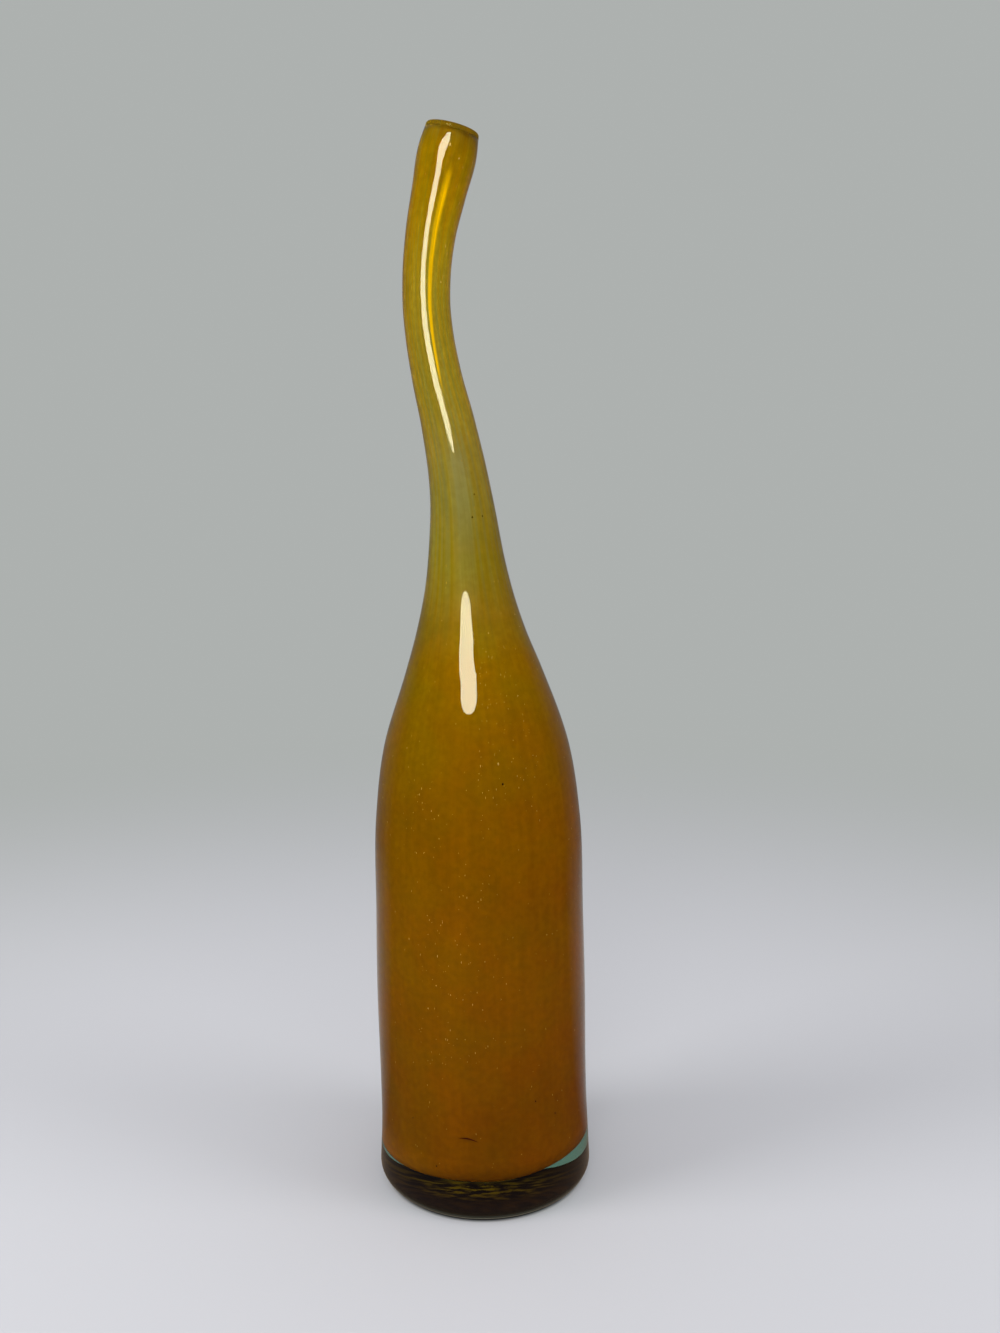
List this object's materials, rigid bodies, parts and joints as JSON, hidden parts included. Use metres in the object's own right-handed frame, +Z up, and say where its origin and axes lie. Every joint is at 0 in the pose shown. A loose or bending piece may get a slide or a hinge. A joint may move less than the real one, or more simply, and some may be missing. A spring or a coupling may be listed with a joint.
{
  "type": "swung glass vase",
  "caption": "Tall bottle-shaped glass vase: an amber inner layer cased in clear glass, a heavy clear base and a long neck swung into an S bend.",
  "frame": {"origin": "middle of the base, on the surface that the vase stands on", "axes": "+Z up through the base; the neck bends out towards -X and comes part of the way back; +Y runs away from the viewer of the picture"},
  "size_m": [0.117, 0.117, 0.5553],
  "materials": {
    "amber_glass": "fire-polished transparent amber glass with fine seed bubbles",
    "clear_glass": "fire-polished clear glass with a faint aqua tint"
  },
  "bodies": {
    "root": {"amber_body": "amber_glass", "amber_neck": "amber_glass", "clear_body": "clear_glass", "clear_neck": "clear_glass"}
  },
  "joints": []
}
